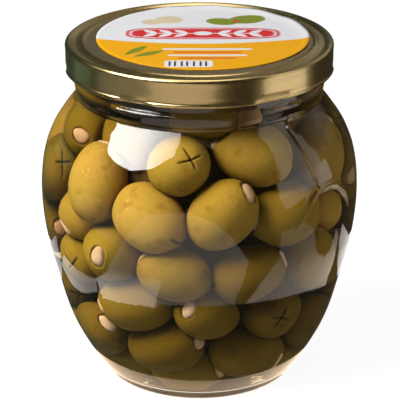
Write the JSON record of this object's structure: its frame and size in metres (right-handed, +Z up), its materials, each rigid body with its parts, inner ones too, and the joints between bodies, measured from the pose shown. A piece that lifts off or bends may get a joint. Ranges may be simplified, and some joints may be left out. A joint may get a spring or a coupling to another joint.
{
  "type": "glass jar of stuffed green olives",
  "caption": "Pot-bellied glass jar with moulded handle reliefs, filled with garlic-stuffed green olives in brine, under a gold lacquered twist-off lid with a round paper label",
  "frame": {"origin": "centre of the jar's bearing ring, on the plane it stands on", "axes": "+Z up along the jar's axis, -Y towards the viewer of the picture, +X to the viewer's right"},
  "size_m": [0.1246, 0.1242, 0.1379],
  "materials": {
    "jar_glass": "clear, smooth",
    "olive_flesh": "satin fruit skin, wet in brine",
    "lid_lacquer": "transparent gold lacquer on tinplate, semi-gloss",
    "label_paper": "printed, gloss varnished"
  },
  "bodies": {
    "root": {"jar": "jar_glass", "olives": "olive_flesh", "lid": "lid_lacquer", "label": "label_paper"}
  },
  "joints": []
}
